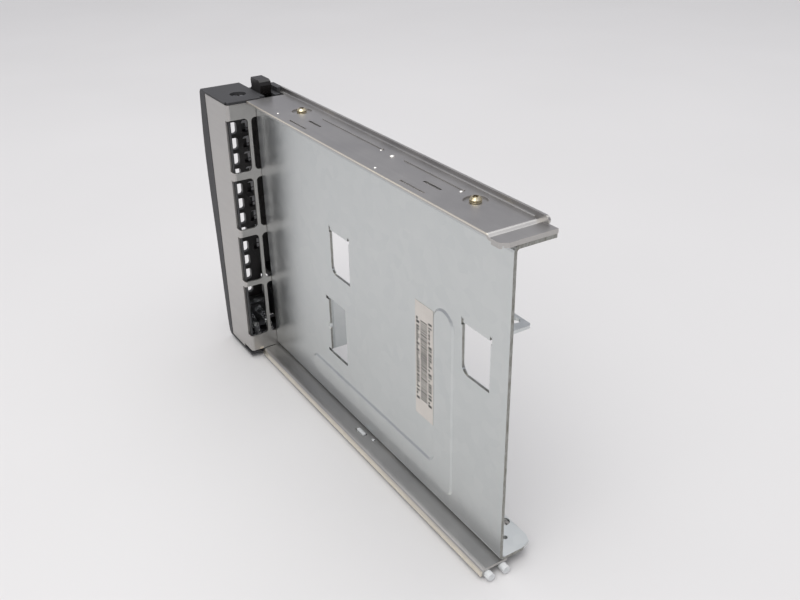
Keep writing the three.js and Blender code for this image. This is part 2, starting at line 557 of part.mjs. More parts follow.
// A round wire along a curve.
function wire(curve, radius, sides, steps) {
  const section = new THREE.Shape();
  for (let side = 0; side < sides; side += 1) {
    const angle = (side / sides) * Math.PI * 2;
    const point = [radius * Math.cos(angle), radius * Math.sin(angle)];
    if (side === 0) section.moveTo(...point);
    else section.lineTo(...point);
  }
  return solid(new THREE.ExtrudeGeometry(section, { steps, extrudePath: curve, bevelEnabled: false }));
}

function torsionSpring() {
  const points = [];
  const turns = 2.4;
  const steps = 34;
  const start = -Math.PI * 0.15;
  points.push(new THREE.Vector3(PIVOT.x + 6.5, 11.2, PIVOT.z - 6.2));
  for (let step = 0; step <= steps; step += 1) {
    const angle = start + (turns * Math.PI * 2 * step) / steps;
    const y = 11.15 - (1.6 * step) / steps;
    points.push(new THREE.Vector3(PIVOT.x + 2.1 * Math.cos(angle), y, PIVOT.z + 2.1 * Math.sin(angle)));
  }
  return wire(new THREE.CatmullRomCurve3(points, false, 'centripetal'), 0.28, 6, 70);
}

// ---- release button -----------------------------------------------------------------------------
function releaseButton() {
  const pad = roundedBox('x', 5.7, 12.6, 3, 18.9, 0.8, -25.4, -20);
  const slider = box(-20.2, -13, 6.1, 12.2, 5, 17);
  const noseSide = [[-15.6, 16.9], [-13, 16.9], [-13, 21], [-13.8, 21.4], [-15.6, 19.6]];
  const nose = prism('y', polygon(noseSide), 7, 11.6);
  const ridges = [6.5, 9.2, 11.9, 14.6].map((z) => box(-25.9, -25.2, 6.6, 11.7, z, z + 1));
  const springCup = rod('z', -16.6, 9.2, 2.4, 4, 7);
  return joined([pad, slider, nose, ...ridges]).subtract(springCup);
}

function buttonSpring() {
  const points = [];
  const turns = 5;
  const steps = turns * 10;
  const low = -0.75;
  const high = 6.6;
  for (let step = 0; step <= steps; step += 1) {
    const angle = (turns * Math.PI * 2 * step) / steps;
    const z = low + ((high - low) * step) / steps;
    points.push(new THREE.Vector3(-16.6 + 1.7 * Math.cos(angle), 9.2 + 1.7 * Math.sin(angle), z));
  }
  return wire(new THREE.CatmullRomCurve3(points, false, 'centripetal'), 0.25, 6, 90);
}

// ---- light pipes --------------------------------------------------------------------------------
function lightPipe(y) {
  const at = (x, z) => new THREE.Vector3(x, y, z);
  const bend = new THREE.CurvePath();
  bend.add(new THREE.LineCurve3(at(-2, PIPE_Z), at(-3, PIPE_Z)));
  const ends = [at(-3, PIPE_Z), at(-9, PIPE_Z), at(-9, PIPE_LENS_Z), at(-15, PIPE_LENS_Z)];
  bend.add(new THREE.CubicBezierCurve3(...ends));
  bend.add(new THREE.LineCurve3(at(-15, PIPE_LENS_Z), at(-16, PIPE_LENS_Z)));
  return joined([
    rod('x', y, PIPE_Z, PIPE, -3, PIPE_REAR, 14),
    wire(bend, PIPE - 0.03, 12, 16),
    rod('x', y, PIPE_LENS_Z, PIPE, -24.8, -15, 14),
  ]);
}

// The clear holder that carries both pipes behind the bezel.
function pipeHolder() {
  const plate = roundedBox('x', -9.4, 4.2, 0.6, 12.4, 0.8, -20, -17);
  const passage = (y) => rod('x', y, PIPE_LENS_Z, PIPE + 0.25, -22, -14);
  return cut(plate, [passage(PIPE_OUTER_Y), passage(PIPE_INNER_Y)]);
}

// A saddle under the lower rail, between the pipes. The middle one has a head in the web's slot and a pip
// behind it.
function pipeClip(x, headed) {
  const rear = headed ? x + CLIP_HALF + 5 : x + CLIP_HALF;
  const saddle = box(x - CLIP_HALF, rear, PIPE_OUTER_Y + 0.8, PIPE_INNER_Y - 0.8, PIPE_Z - 0.9, UNDER_WEB);
  const head = roundedBox('z', x - 2.4, x + 2.4, -2.5, -1.2, 0.4, PIPE_Z, LOWER_WEB_TOP + 0.35, 2);
  const pip = rod('z', x + 6.6, -0.9, 0.55, PIPE_Z, LOWER_WEB_TOP + 0.3, 10);
  const channel = (y) => rod('x', y, PIPE_Z, PIPE + 0.1, x - 5, x + 9);
  const body = headed ? joined([saddle, head, pip]) : saddle;
  return cut(body, [channel(PIPE_OUTER_Y), channel(PIPE_INNER_Y)]);
}

// ---- screws and label ---------------------------------------------------------------------------
function panScrew(headRadius, headHeight, shankRadius, length) {
  const shank = [[0, -length], [shankRadius * 0.7, -length], [shankRadius, -length + 0.6], [shankRadius, 0]];
  const head = [[headRadius, 0], [headRadius, headHeight * 0.45], [headRadius * 0.72, headHeight * 0.86]];
  const profile = [...shank, ...head, [0, headHeight]];
  const geometry = new THREE.LatheGeometry(profile.map(([r, z]) => new THREE.Vector2(r, z)), 20);
  geometry.rotateX(Math.PI / 2);
  const arm = headRadius * 0.52;
  const blade = 0.34;
  const recess = [box(-arm, arm, -blade, blade, headHeight * 0.35, headHeight + 1),
    box(-blade, blade, -arm, arm, headHeight * 0.35, headHeight + 1)];
  return cut(solid(geometry), recess);
}

function screw(name, x, y, z, turned, sizes) {
  const result = mesh(name, panScrew(...sizes), screwSteel);
  result.position.set(x, y, z);
  if (turned) result.rotation.x = Math.PI;
  return result;
}

const PLATE_SCREW = [1.75, 1.7, 1.35, 3.6];
const BEZEL_SCREW = [2.5, 0.9, 1.3, 4.2];

const plateLabel = () => box(106.5, 116, -0.12, -0.02, 28, 68);

// ---- the tray -----------------------------------------------------------------------------------
const tray = new THREE.Group();
tray.add(
  mesh('converter_plate', converterPlate(), galvanised),
  mesh('front_wall', frontWall(), zincPlated),
  mesh('upper_rail', upperRail(), zincPlated),
  mesh('lower_rail', lowerRail(), zincPlated),
  mesh('bezel_frame', bezelFrame(), blackPlastic),
  mesh('bezel_grille', bezelGrille(), darkPlastic),
  mesh('lever_handle', leverHandle(), darkPlastic),
  mesh('lever_pivot_pin', pivotPin(), springSteel),
  mesh('pin_retaining_ring', retainingRing(), springSteel),
  mesh('lever_torsion_spring', torsionSpring(), springSteel),
  mesh('release_button', releaseButton(), darkPlastic),
  mesh('button_return_spring', buttonSpring(), springSteel),
  mesh('light_pipe_outer', lightPipe(PIPE_OUTER_Y), clearAcrylic),
  mesh('light_pipe_inner', lightPipe(PIPE_INNER_Y), clearAcrylic),
  mesh('light_pipe_holder', pipeHolder(), clearAcrylic),
  mesh('pipe_clip_front', pipeClip(CLIP_X[0], false), clearAcrylic),
  mesh('pipe_clip_middle', pipeClip(CLIP_X[1], true), clearAcrylic),
  mesh('pipe_clip_rear', pipeClip(CLIP_X[2], false), clearAcrylic),
  mesh('plate_label', plateLabel(), labelPaper),
  screw('plate_screw_upper_front', SCREW_FRONT_X, SCREW_Y, SEAT_TOP + 0.1, false, PLATE_SCREW),
  screw('plate_screw_upper_rear', SCREW_REAR_X, SCREW_Y, SEAT_TOP + 0.1, false, PLATE_SCREW),
  screw('plate_screw_lower_front', SCREW_FRONT_X, SCREW_Y, UNDER_WEB, true, PLATE_SCREW),
  screw('plate_screw_lower_rear', SCREW_REAR_X, SCREW_Y, UNDER_WEB, true, PLATE_SCREW),
  screw('bezel_screw_upper', -9.5, -2.6, BEZEL_TOP - 1.4, false, BEZEL_SCREW),
  screw('bezel_screw_lower', -9.5, 8, BEZEL_BOTTOM - 0.1, true, BEZEL_SCREW),
);

// The origin is the middle of the footprint, at the height of the surface that the tray stands on.
const bounds = new THREE.Box3().setFromObject(tray);
const centre = bounds.getCenter(new THREE.Vector3());
tray.position.set(-centre.x, -centre.y, -bounds.min.z);

const object = new THREE.Group();
object.add(tray);
export default object;
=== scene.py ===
import json
import math
import random

import bmesh
import bpy
from mathutils import Matrix, Vector


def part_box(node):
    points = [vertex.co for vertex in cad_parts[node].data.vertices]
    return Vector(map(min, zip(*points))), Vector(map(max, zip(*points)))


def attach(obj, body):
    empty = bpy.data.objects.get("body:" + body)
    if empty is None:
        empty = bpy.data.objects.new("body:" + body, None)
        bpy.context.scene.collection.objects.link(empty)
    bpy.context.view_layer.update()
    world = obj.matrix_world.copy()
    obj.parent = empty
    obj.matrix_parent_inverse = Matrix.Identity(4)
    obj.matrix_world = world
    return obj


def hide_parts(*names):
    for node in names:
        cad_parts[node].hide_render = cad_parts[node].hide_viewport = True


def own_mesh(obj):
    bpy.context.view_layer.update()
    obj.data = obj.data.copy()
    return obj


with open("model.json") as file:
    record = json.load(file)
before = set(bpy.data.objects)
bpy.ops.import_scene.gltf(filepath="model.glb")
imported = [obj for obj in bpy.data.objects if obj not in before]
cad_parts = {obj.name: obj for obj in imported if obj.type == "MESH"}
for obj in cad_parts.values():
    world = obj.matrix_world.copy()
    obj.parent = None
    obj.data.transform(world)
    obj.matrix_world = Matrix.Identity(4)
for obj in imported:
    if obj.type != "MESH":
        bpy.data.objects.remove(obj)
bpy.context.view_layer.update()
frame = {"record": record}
MM = 0.001
PAST = 1 * MM  # how far a mask runs past the face that it covers


def corners(node):
    """The lowest and highest corners of a node at rest."""
    return (Vector(corner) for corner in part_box(node))


def place_mesh(name, mesh, material):
    """Turns a finished bmesh into an object of the scene."""
    data = bpy.data.meshes.new(name)
    mesh.to_mesh(data)
    mesh.free()
    data.materials.append(material)
    piece = bpy.data.objects.new(name, data)
    bpy.context.scene.collection.objects.link(piece)
    return piece


def ring_points(radius, sides):
    """Evenly spaced points round a circle about the origin."""
    angles = [2 * math.pi * side / sides for side in range(sides)]
    return [(radius * math.cos(angle), radius * math.sin(angle)) for angle in angles]


def join_rings(mesh, lower, upper):
    """A band of faces between two rings of the same number of points."""
    for side in range(len(lower)):
        after = (side + 1) % len(lower)
        mesh.faces.new((lower[side], lower[after], upper[after], upper[side]))


# ---- camera, at the photograph's viewing angle ------------------------------------------------
CAMERA_PLACE = Vector((241.7, -129.4, 196.4)) * MM
CAMERA_AZIMUTH = 58.2
CAMERA_ELEVATION = 28.0
CAMERA_ROLL = -1.08
CAMERA_LENS = 40.6


def make_camera():
    azimuth = math.radians(CAMERA_AZIMUTH)
    elevation = math.radians(CAMERA_ELEVATION)
    level = math.cos(elevation)
    back = Vector((math.sin(azimuth) * level, -math.cos(azimuth) * level, math.sin(elevation)))
    right = (-back).cross(Vector((0, 0, 1))).normalized()
    up = right.cross(-back)
    turn = Matrix((right, up, back)).transposed() @ Matrix.Rotation(math.radians(CAMERA_ROLL), 3, "Z")
    data = bpy.data.cameras.new("camera")
    data.lens = CAMERA_LENS
    data.sensor_width = 36
    data.clip_start = 0.01
    camera = bpy.data.objects.new("camera", data)
    camera.matrix_world = Matrix.Translation(CAMERA_PLACE) @ turn.to_4x4()
    bpy.context.scene.collection.objects.link(camera)
    bpy.context.scene.camera = camera


# ---- node materials ---------------------------------------------------------------------------
class Look:
    """A procedural material: every texture is laid in the frame's own metres."""

    def __init__(self, name, **values):
        self.material = bpy.data.materials.new(name)
        self.material.use_nodes = True
        self.tree = self.material.node_tree
        self.shader = self.tree.nodes["Principled BSDF"]
        self.place = self.node("ShaderNodeTexCoord").outputs["Object"]
        for key, value in values.items():
            self.shader.inputs[key.replace("_", " ")].default_value = value

    def node(self, kind, **settings):
        node = self.tree.nodes.new(kind)
        for key, value in settings.items():
            setattr(node, key, value)
        return node

    def link(self, source, target):
        self.tree.links.new(source, target)

    def fill(self, node, values):
        for key, value in values.items():
            if isinstance(value, bpy.types.NodeSocket):
                self.link(value, node.inputs[key])
            else:
                node.inputs[key].default_value = value
        return node

    def stretched(self, scale, turn=(0, 0, 0)):
        node = self.node("ShaderNodeMapping")
        return self.fill(node, {"Vector": self.place, "Scale": scale, "Rotation": turn}).outputs[0]

    def noise(self, scale, detail=3, roughness=0.55, vector=None, distortion=0.0):
        node = self.node("ShaderNodeTexNoise")
        values = {"Vector": vector or self.place, "Scale": scale, "Detail": detail, "Roughness": roughness,
                  "Distortion": distortion}
        return self.fill(node, values).outputs["Fac"]

    def cells(self, scale, vector=None, feature="F1", output="Color"):
        node = self.node("ShaderNodeTexVoronoi", feature=feature)
        return self.fill(node, {"Vector": vector or self.place, "Scale": scale}).outputs[output]

    def math(self, operation, first, second=0.0):
        node = self.node("ShaderNodeMath", operation=operation)
        return self.fill(node, {0: first, 1: second}).outputs[0]

    def spread(self, value, from_low, from_high, low, high):
        node = self.node("ShaderNodeMapRange", clamp=True)
        values = {"Value": value, "From Min": from_low, "From Max": from_high, "To Min": low, "To Max": high}
        return self.fill(node, values).outputs[0]

    def ramp(self, value, stops):
        node = self.node("ShaderNodeValToRGB")
        elements = node.color_ramp.elements
        while len(elements) < len(stops):
            elements.new(0.5)
        for element, (position, color) in zip(elements, stops):
            element.position = position
            element.color = (*color, 1)
        self.link(value, node.inputs[0])
        return node.outputs[0]

    def mixed(self, factor, first, second):
        node = self.node("ShaderNodeMix", data_type="RGBA")
        color = lambda value: (*value, 1) if isinstance(value, tuple) else value
        return self.fill(node, {0: factor, 6: color(first), 7: color(second)}).outputs[2]

    def edges(self, radius):
        """How near a point is to an outer edge: 0 on the flat, towards 1 on the edge."""
        bevel = self.fill(self.node("ShaderNodeBevel", samples=4), {"Radius": radius})
        surface = self.node("ShaderNodeNewGeometry")
        dot = self.node("ShaderNodeVectorMath", operation="DOT_PRODUCT")
        self.link(bevel.outputs[0], dot.inputs[0])
        self.link(surface.outputs["Normal"], dot.inputs[1])
        return self.spread(dot.outputs["Value"], 1.0, 0.8, 0.0, 1.0)

    def facing(self, axis, sharp=0.6):
        """1 where the surface faces along an axis of the frame, either way."""
        local = self.node("ShaderNodeVectorTransform", vector_type="NORMAL",
                          convert_from="WORLD", convert_to="OBJECT")
        self.link(self.node("ShaderNodeNewGeometry").outputs["True Normal"], local.inputs[0])
        parts = self.node("ShaderNodeSeparateXYZ")
        self.link(local.outputs[0], parts.inputs[0])
        return self.math("GREATER_THAN", self.math("ABSOLUTE", parts.outputs[axis]), sharp)

    def within(self, axis, low, high):
        """1 between two coordinates along an axis of the frame."""
        parts = self.node("ShaderNodeSeparateXYZ")
        self.link(self.place, parts.inputs[0])
        above = self.math("GREATER_THAN", parts.outputs[axis], low)
        return self.math("MULTIPLY", above, self.math("LESS_THAN", parts.outputs[axis], high))

    def bump(self, height, distance, strength=1.0, below=None):
        node = self.node("ShaderNodeBump")
        values = {"Height": height, "Distance": distance, "Strength": strength}
        if below:
            values["Normal"] = below
        return self.fill(node, values).outputs[0]

    def finish(self, color=None, roughness=None, normal=None, **others):
        sockets = {"Base Color": color, "Roughness": roughness, "Normal": normal, **others}
        for key, socket in sockets.items():
            if socket:
                self.link(socket, self.shader.inputs[key])
        return self.material


plate_low, plate_high = corners("converter_plate")


def galvanised():
    """Zinc-dipped sheet: a faint spangle, soft clouds and rolling lines; its sheared edges are dark."""
    look = Look("galvanised_sheet", Metallic=1.0)
    spangle = look.cells(260.0, look.stretched((1, 1, 1), (0.3, 0.2, 0.5)))
    grey = look.spread(spangle, 0.0, 1.0, 0.0, 1.0)
    clouds = look.noise(28.0, 4, 0.6)
    lines = look.noise(900.0, 3, 0.6, look.stretched((0.02, 1, 1)))
    tone = look.math("ADD", look.math("MULTIPLY", grey, 0.35), look.math("MULTIPLY", clouds, 0.65))
    base = look.ramp(tone, [(0.15, (0.585, 0.612, 0.612)), (0.5, (0.622, 0.645, 0.642)),
                            (0.85, (0.662, 0.682, 0.676))])
    worn = look.math("MULTIPLY", look.edges(0.0003), look.spread(look.noise(420.0), 0.35, 0.65, 0.2, 1.0))
    color = look.mixed(look.math("MULTIPLY", worn, 0.3), base, (0.78, 0.79, 0.78))
    sheet_depth, rear_depth, flange_zone = 1.26 * MM, 0.3 * MM, 4 * MM
    sheet = look.within("Y", plate_low.y - PAST, plate_low.y + sheet_depth)
    rear = look.within("X", plate_high.x - rear_depth, plate_high.x + PAST)
    middle = look.within("Z", plate_low.z + flange_zone, plate_high.z - flange_zone)
    sideways = look.math("MULTIPLY", look.math("MULTIPLY", sheet, middle), look.facing("Z", 0.57))
    endways = look.math("MULTIPLY", look.math("MAXIMUM", sheet, rear), look.facing("X", 0.9))
    sheared = look.math("MAXIMUM", endways, sideways)
    torn = look.spread(look.noise(1500.0, 3, 0.7, look.stretched((0.3, 1, 0.3))), 0.3, 0.7, 0.55, 1.0)
    color = look.mixed(look.math("MULTIPLY", sheared, torn), color, (0.20, 0.195, 0.17))
    rough = look.spread(look.math("ADD", look.math("MULTIPLY", grey, 0.4), clouds), 0.2, 1.1, 0.27, 0.36)
    rough = look.math("SUBTRACT", rough, look.math("MULTIPLY", worn, 0.06))
    grain = look.bump(lines, 0.000004, 0.5)
    waves = look.bump(look.noise(45.0, 2, 0.4), 0.00016, 0.35, grain)
    return look.finish(color, rough, waves)


def reflection_band(look, node, width, bottom, top):
    """1 along a rail's near edge, where a painted reflection goes: its width, and its bottom and top from the
    rail's top, in millimetres.
    """
    low, high = corners(node)
    band = look.within("Y", low.y - PAST, low.y + width * MM)
    return look.math("MULTIPLY", band, look.within("Z", high.z + bottom * MM, high.z + top * MM))


def zinc_sheet():
    """Zinc-plated cold-rolled sheet, satin and slightly warm, with drag marks; its rails' near edges carry a
    painted reflection, a bright cream band.
    """
    look = Look("zinc_plated_sheet", Metallic=1.0)
    clouds = look.noise(60.0, 5, 0.62)
    speckle = look.noise(2600.0, 2, 0.7)
    drag = look.noise(700.0, 4, 0.7, look.stretched((0.03, 1, 0.6)))
    tone = look.math("ADD", look.math("MULTIPLY", clouds, 0.6), look.math("MULTIPLY", drag, 0.4))
    base = look.ramp(tone, [(0.25, (0.44, 0.43, 0.42)), (0.55, (0.495, 0.483, 0.468)),
                            (0.8, (0.55, 0.535, 0.515))])
    worn = look.math("MULTIPLY", look.edges(0.00035), look.spread(look.noise(380.0), 0.3, 0.6, 0.25, 1.0))
    color = look.mixed(look.math("MULTIPLY", worn, 0.5), base, (0.70, 0.66, 0.58))
    streaks = look.spread(look.noise(300.0, 3, 0.6, look.stretched((0.1, 1, 1))), 0.3, 0.7, 0.6, 1.0)
    # Painted reflection: a bright cream band on the lower rail's near edge and a thin line on the upper
    # rail's, in place of the floor's reflection.
    rolled = reflection_band(look, "lower_rail", 0.6, -4, 1)
    painted_rail_reflection = look.math("MAXIMUM", rolled, reflection_band(look, "upper_rail", 0.25, -1.85, -1.4))
    color = look.mixed(look.math("MULTIPLY", painted_rail_reflection, streaks), color, (0.88, 0.82, 0.70))
    rough = look.spread(look.math("ADD", clouds, look.math("MULTIPLY", speckle, 0.4)), 0.35, 1.05, 0.27, 0.40)
    normal = look.bump(drag, 0.000006, 0.5, look.bump(speckle, 0.000006, 0.35))
    return look.finish(color, rough, normal)


def pip_painted_glint():
    """The pressed pips: the same zinc, painted far lighter as a painted highlight for their glints."""
    look = Look("glint_painted_zinc", Metallic=1.0)
    glint_tone = look.noise(2500.0, 3, 0.6)
    # Painted highlight: the pips are much lighter than the sheet's zinc, standing in for their glints.
    color = look.ramp(glint_tone, [(0.3, (0.72, 0.70, 0.66)), (0.7, (0.90, 0.88, 0.84))])
    return look.finish(color, look.spread(glint_tone, 0.3, 0.7, 0.18, 0.3), look.bump(glint_tone, 0.000005, 0.4))


def cavity_shade_mask(look):
    """1 in the bezel's cavity, where near-black painted shade goes."""
    low, high = corners("bezel_frame")
    front_skin, near_skin, far_skin = 3.8 * MM, 1.6 * MM, 1.4 * MM
    lower_skin, cavity_top = 1.1 * MM, 104.4 * MM
    span = look.math("MULTIPLY", look.within("X", low.x + front_skin, high.x + PAST),
                     look.within("Y", low.y + near_skin, high.y - far_skin))
    return look.math("MULTIPLY", span, look.within("Z", low.z + lower_skin, low.z + cavity_top))


def moulded(name, dark, light, smooth, coarse, texture, depth, painted=False):
    """Moulded plastic, fine eroded texture, burnished along its edges; if painted, the cavity gets near-black
    painted shade.
    """
    look = Look(name, IOR=1.5)
    grain = look.noise(texture, 3, 0.6)
    patches = look.noise(40.0, 4, 0.6)
    worn = look.math("MULTIPLY", look.edges(0.0003), look.spread(look.noise(300.0), 0.35, 0.7, 0.1, 0.9))
    base = look.ramp(look.math("ADD", look.math("MULTIPLY", grain, 0.4), look.math("MULTIPLY", patches, 0.6)),
                     [(0.3, dark), (0.7, light)])
    color = look.mixed(look.math("MULTIPLY", worn, 0.35), base, tuple(min(1.0, part * 1.9) for part in light))
    if painted:
        # Painted shade: the bezel's cavity is turned near black.
        cavity_shade_color = look.mixed(grain, (0.004, 0.004, 0.004), (0.009, 0.009, 0.009))
        color = look.mixed(cavity_shade_mask(look), color, cavity_shade_color)
    eroded = look.spread(grain, 0.3, 0.7, smooth, coarse)
    rough = look.math("SUBTRACT", eroded, look.math("MULTIPLY", worn, 0.12))
    return look.finish(color, rough, look.bump(grain, depth, 0.6))


def clear_plastic(name, clarity, frosted_end=False):
    """Acrylic with flow marks and fine scratches; a frosted end is milky past the plate's rear edge."""
    look = Look(name, IOR=1.49, Transmission_Weight=clarity)
    others = {}
    if frosted_end:
        frost_start, frost_end, frosted_clarity = 0.5 * MM, 10 * MM, 0.3
        end = look.within("X", plate_high.x - frost_start, plate_high.x + frost_end)
        others["Transmission Weight"] = look.spread(end, 0.0, 1.0, clarity, frosted_clarity)
    flow = look.noise(160.0, 3, 0.5, look.stretched((0.15, 1, 1)))
    scratches = look.noise(1800.0, 2, 0.8, look.stretched((1, 0.08, 0.3)))
    color = look.ramp(flow, [(0.3, (0.90, 0.93, 0.93)), (0.7, (0.98, 0.99, 0.99))])
    rough = look.spread(scratches, 0.45, 0.8, 0.03, 0.16)
    return look.finish(color, rough, look.bump(flow, 0.00002, 0.3), **others)


def label_paper():
    """Coated label stock: warm white, with faint fibres and soft stains."""
    look = Look("label_stock", Specular_IOR_Level=0.35)
    fibres = look.noise(1500.0, 4, 0.7, look.stretched((1, 1, 0.35)))
    stains = look.noise(90.0, 3, 0.6)
    tone = look.math("ADD", look.math("MULTIPLY", fibres, 0.4), look.math("MULTIPLY", stains, 0.6))
    color = look.ramp(tone, [(0.3, (0.60, 0.565, 0.52)), (0.7, (0.70, 0.665, 0.615))])
    rough = look.spread(fibres, 0.3, 0.7, 0.5, 0.7)
    return look.finish(color, rough, look.bump(fibres, 0.00001, 0.5))


def label_ink():
    """Thermal print: grey-black, unevenly burnt."""
    look = Look("label_ink")
    burn = look.noise(1300.0, 3, 0.7)
    color = look.ramp(burn, [(0.3, (0.025, 0.027, 0.022)), (0.75, (0.09, 0.092, 0.08))])
    return look.finish(color, look.spread(burn, 0.3, 0.7, 0.45, 0.65), look.bump(burn, 0.000004, 0.4))


def screw_steel(name, dark, middle, light):
    """Plated screw steel, with fine marks and worn edges."""
    look = Look(name, Metallic=1.0)
    tint = look.noise(500.0, 3, 0.6)
    rings = look.noise(3000.0, 2, 0.5, look.stretched((1, 1, 0.1)))
    base = look.ramp(tint, [(0.3, dark), (0.55, middle), (0.8, light)])
    worn = look.edges(0.0002)
    color = look.mixed(look.math("MULTIPLY", worn, 0.5), base, (0.95, 0.92, 0.84))
    rough = look.spread(look.math("ADD", tint, rings), 0.6, 1.4, 0.12, 0.24)
    return look.finish(color, rough, look.bump(rings, 0.000004, 0.5))


def spring_steel():
    """Drawn wire: bright, with fine die lines."""
    look = Look("drawn_steel", Metallic=1.0)
    lines = look.noise(4000.0, 3, 0.6, look.stretched((1, 0.3, 1)))
    patina = look.noise(350.0, 3, 0.6)
    color = look.ramp(patina, [(0.3, (0.42, 0.42, 0.43)), (0.7, (0.60, 0.60, 0.60))])
    return look.finish(color, look.spread(lines, 0.3, 0.7, 0.2, 0.36), look.bump(lines, 0.000003, 0.5))


def make_looks():
    return {
        "galvanised": galvanised(),
        "zinc_sheet": zinc_sheet(),
        "pip_painted_glint": pip_painted_glint(),
        # The bezel's plastic carries near-black painted shade in its cavity.
        "bezel_plastic": moulded("bezel_plastic", (0.033, 0.033, 0.035), (0.050, 0.050, 0.053),
                                 0.52, 0.68, 3200.0, 0.00002, painted=True),
        "dark_plastic": moulded("dark_plastic", (0.005, 0.004, 0.004), (0.012, 0.010, 0.009),
                                0.25, 0.40, 2600.0, 0.00001),
        "liner_plastic": moulded("liner_plastic", (0.52, 0.51, 0.52), (0.66, 0.65, 0.66),
                                 0.4, 0.55, 3000.0, 0.00001),
        "button_plastic": moulded("button_plastic", (0.014, 0.014, 0.015), (0.026, 0.026, 0.028),
                                  0.4, 0.55, 3600.0, 0.00002),
        "clear_plastic": clear_plastic("milky_acrylic", 0.45),
        "clear_holder": clear_plastic("clear_acrylic", 0.97),
        "clear_pipe": clear_plastic("frosted_end_acrylic", 0.97, frosted_end=True),
        "label_paper": label_paper(),
        "label_ink": label_ink(),
        "screw_steel": screw_steel("yellow_zinc_screw", (0.66, 0.55, 0.33), (0.80, 0.71, 0.50),
                                   (0.84, 0.80, 0.68)),
        "dull_steel": screw_steel("dull_screw", (0.30, 0.30, 0.31), (0.42, 0.42, 0.42), (0.55, 0.55, 0.54)),
        "spring_steel": spring_steel(),
    }


# ---- finish of the carried-over nodes ---------------------------------------------------------
# Edge radius in millimetres of each kind of piece; 0 leaves the edges as they are cut.
EDGE_RADIUS = {"galvanised": 0.16, "zinc_sheet": 0.2, "bezel_plastic": 0.3, "dark_plastic": 0.25,
               "button_plastic": 0.25, "clear_plastic": 0.12, "screw_steel": 0.07, "label_paper": 0.0,
               "spring_steel": 0.0}


SMOOTH_LIMIT, FLAT_LIMIT, BEVEL_LIMIT = math.radians(38), math.radians(0.6), math.radians(50)


def smoothing():
    """A node modifier that shades everything smooth but keeps edges sharper than the limit."""
    group = bpy.data.node_groups.new("smooth_by_angle", "GeometryNodeTree")
    group.interface.new_socket("Geometry", in_out="INPUT", socket_type="NodeSocketGeometry")
    group.interface.new_socket("Geometry", in_out="OUTPUT", socket_type="NodeSocketGeometry")
    start = group.nodes.new("NodeGroupInput")
    end = group.nodes.new("NodeGroupOutput")
    angle = group.nodes.new("GeometryNodeInputMeshEdgeAngle")
    compare = group.nodes.new("FunctionNodeCompare")
    compare.data_type = "FLOAT"
    compare.operation = "LESS_EQUAL"
    compare.inputs[1].default_value = SMOOTH_LIMIT
    faces = group.nodes.new("GeometryNodeSetShadeSmooth")
    faces.domain = "FACE"
    edges = group.nodes.new("GeometryNodeSetShadeSmooth")
    edges.domain = "EDGE"
    links = group.links
    links.new(angle.outputs["Unsigned Angle"], compare.inputs[0])
    links.new(start.outputs[0], faces.inputs["Geometry"])
    links.new(faces.outputs[0], edges.inputs["Geometry"])
    links.new(compare.outputs[0], edges.inputs["Shade Smooth"])
    links.new(edges.outputs[0], end.inputs[0])
    return group


def dress(node, slot, material, smooth_group):
    piece = bpy.data.objects[node]
    piece.data.materials.clear()
    piece.data.materials.append(material)
    radius = EDGE_RADIUS[slot] * MM
    if radius:
        flatten = piece.modifiers.new("flatten", "DECIMATE")
        flatten.decimate_type = "DISSOLVE"
        flatten.angle_limit = FLAT_LIMIT
        bevel = piece.modifiers.new("edges", "BEVEL")
        bevel.limit_method = "ANGLE"
        bevel.angle_limit = BEVEL_LIMIT
        bevel.width = radius
        bevel.segments = 2
        bevel.use_clamp_overlap = False
    shade = piece.modifiers.new("smooth", "NODES")
    shade.node_group = smooth_group
    weight = piece.modifiers.new("weight", "WEIGHTED_NORMAL")
    weight.keep_sharp = True


# ---- printed label ----------------------------------------------------------------------------
def make_label_print(looks):
    """A generic bar pattern between two columns of short dashes, a hair above the label."""
    low, high = corners("plate_label")
    proud, ink = 0.01 * MM, 0.008 * MM
    face = low.y - proud
    width = high.x - low.x
    rng = random.Random(7)
    mesh = bmesh.new()

    def mark(x0, x1, z0, z1):
        outline = [(x0, z0), (x1, z0), (x1, z1), (x0, z1)]
        front = [mesh.verts.new((low.x + u * width, face, low.z + v * MM)) for u, v in outline]
        rear = [mesh.verts.new((low.x + u * width, face + ink, low.z + v * MM)) for u, v in outline]
        mesh.faces.new(front)
        mesh.faces.new(rear[::-1])
        for index in range(4):
            after = (index + 1) % 4
            mesh.faces.new((front[after], front[index], rear[index], rear[after]))

    bars_low, bars_high, dashes_low, dashes_high = 6.2, 34.4, 5.6, 34.6
    z = bars_low
    while z < bars_high:
        bar = rng.choice((0.28, 0.42, 0.62))
        mark(0.30, 0.68, z, z + bar)
        z += bar + rng.choice((0.3, 0.42))
    for left, right in ((0.06, 0.24), (0.74, 0.93)):
        z = dashes_low
        while z < dashes_high:
            dash = rng.choice((0.5, 0.7, 0.9))
            mark(left, right if rng.random() < 0.75 else (left + right) / 2, z, z + dash)
            z += dash + rng.choice((0.3, 0.4, 0.7))
    piece = place_mesh("label_print", mesh, looks["label_ink"])
    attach(piece, "tray")


# ---- small pieces -----------------------------------------------------------------------------
def finished(name, mesh, material, body):
    """A smooth-shaded piece that rides on a body."""
    bmesh.ops.recalc_face_normals(mesh, faces=mesh.faces[:])
    piece = place_mesh(name, mesh, material)
    polygons = piece.data.polygons
    polygons.foreach_set("use_smooth", [True] * len(polygons))
    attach(piece, body)
    return piece


# Pips on the upper rail: distance ahead of the rail's rear end, in from its near edge, and radius, in mm.
RAIL_PIPS = ((129.4, 2.75, 0.55), (62.4, 1.95, 0.6), (74.9, 11.55, 0.5), (32.7, 11.35, 0.65),
             (68.2, 11.35, 1.0))
PIP_SIDES = 16
PIP_TILTS = (0, 20, 40, 62, 80)  # degrees up the dome
PIP_DOME = 0.45  # height over radius
PIP_SUNK = 0.04 * MM
RAIL_LIP_HEIGHT = 1.5 * MM


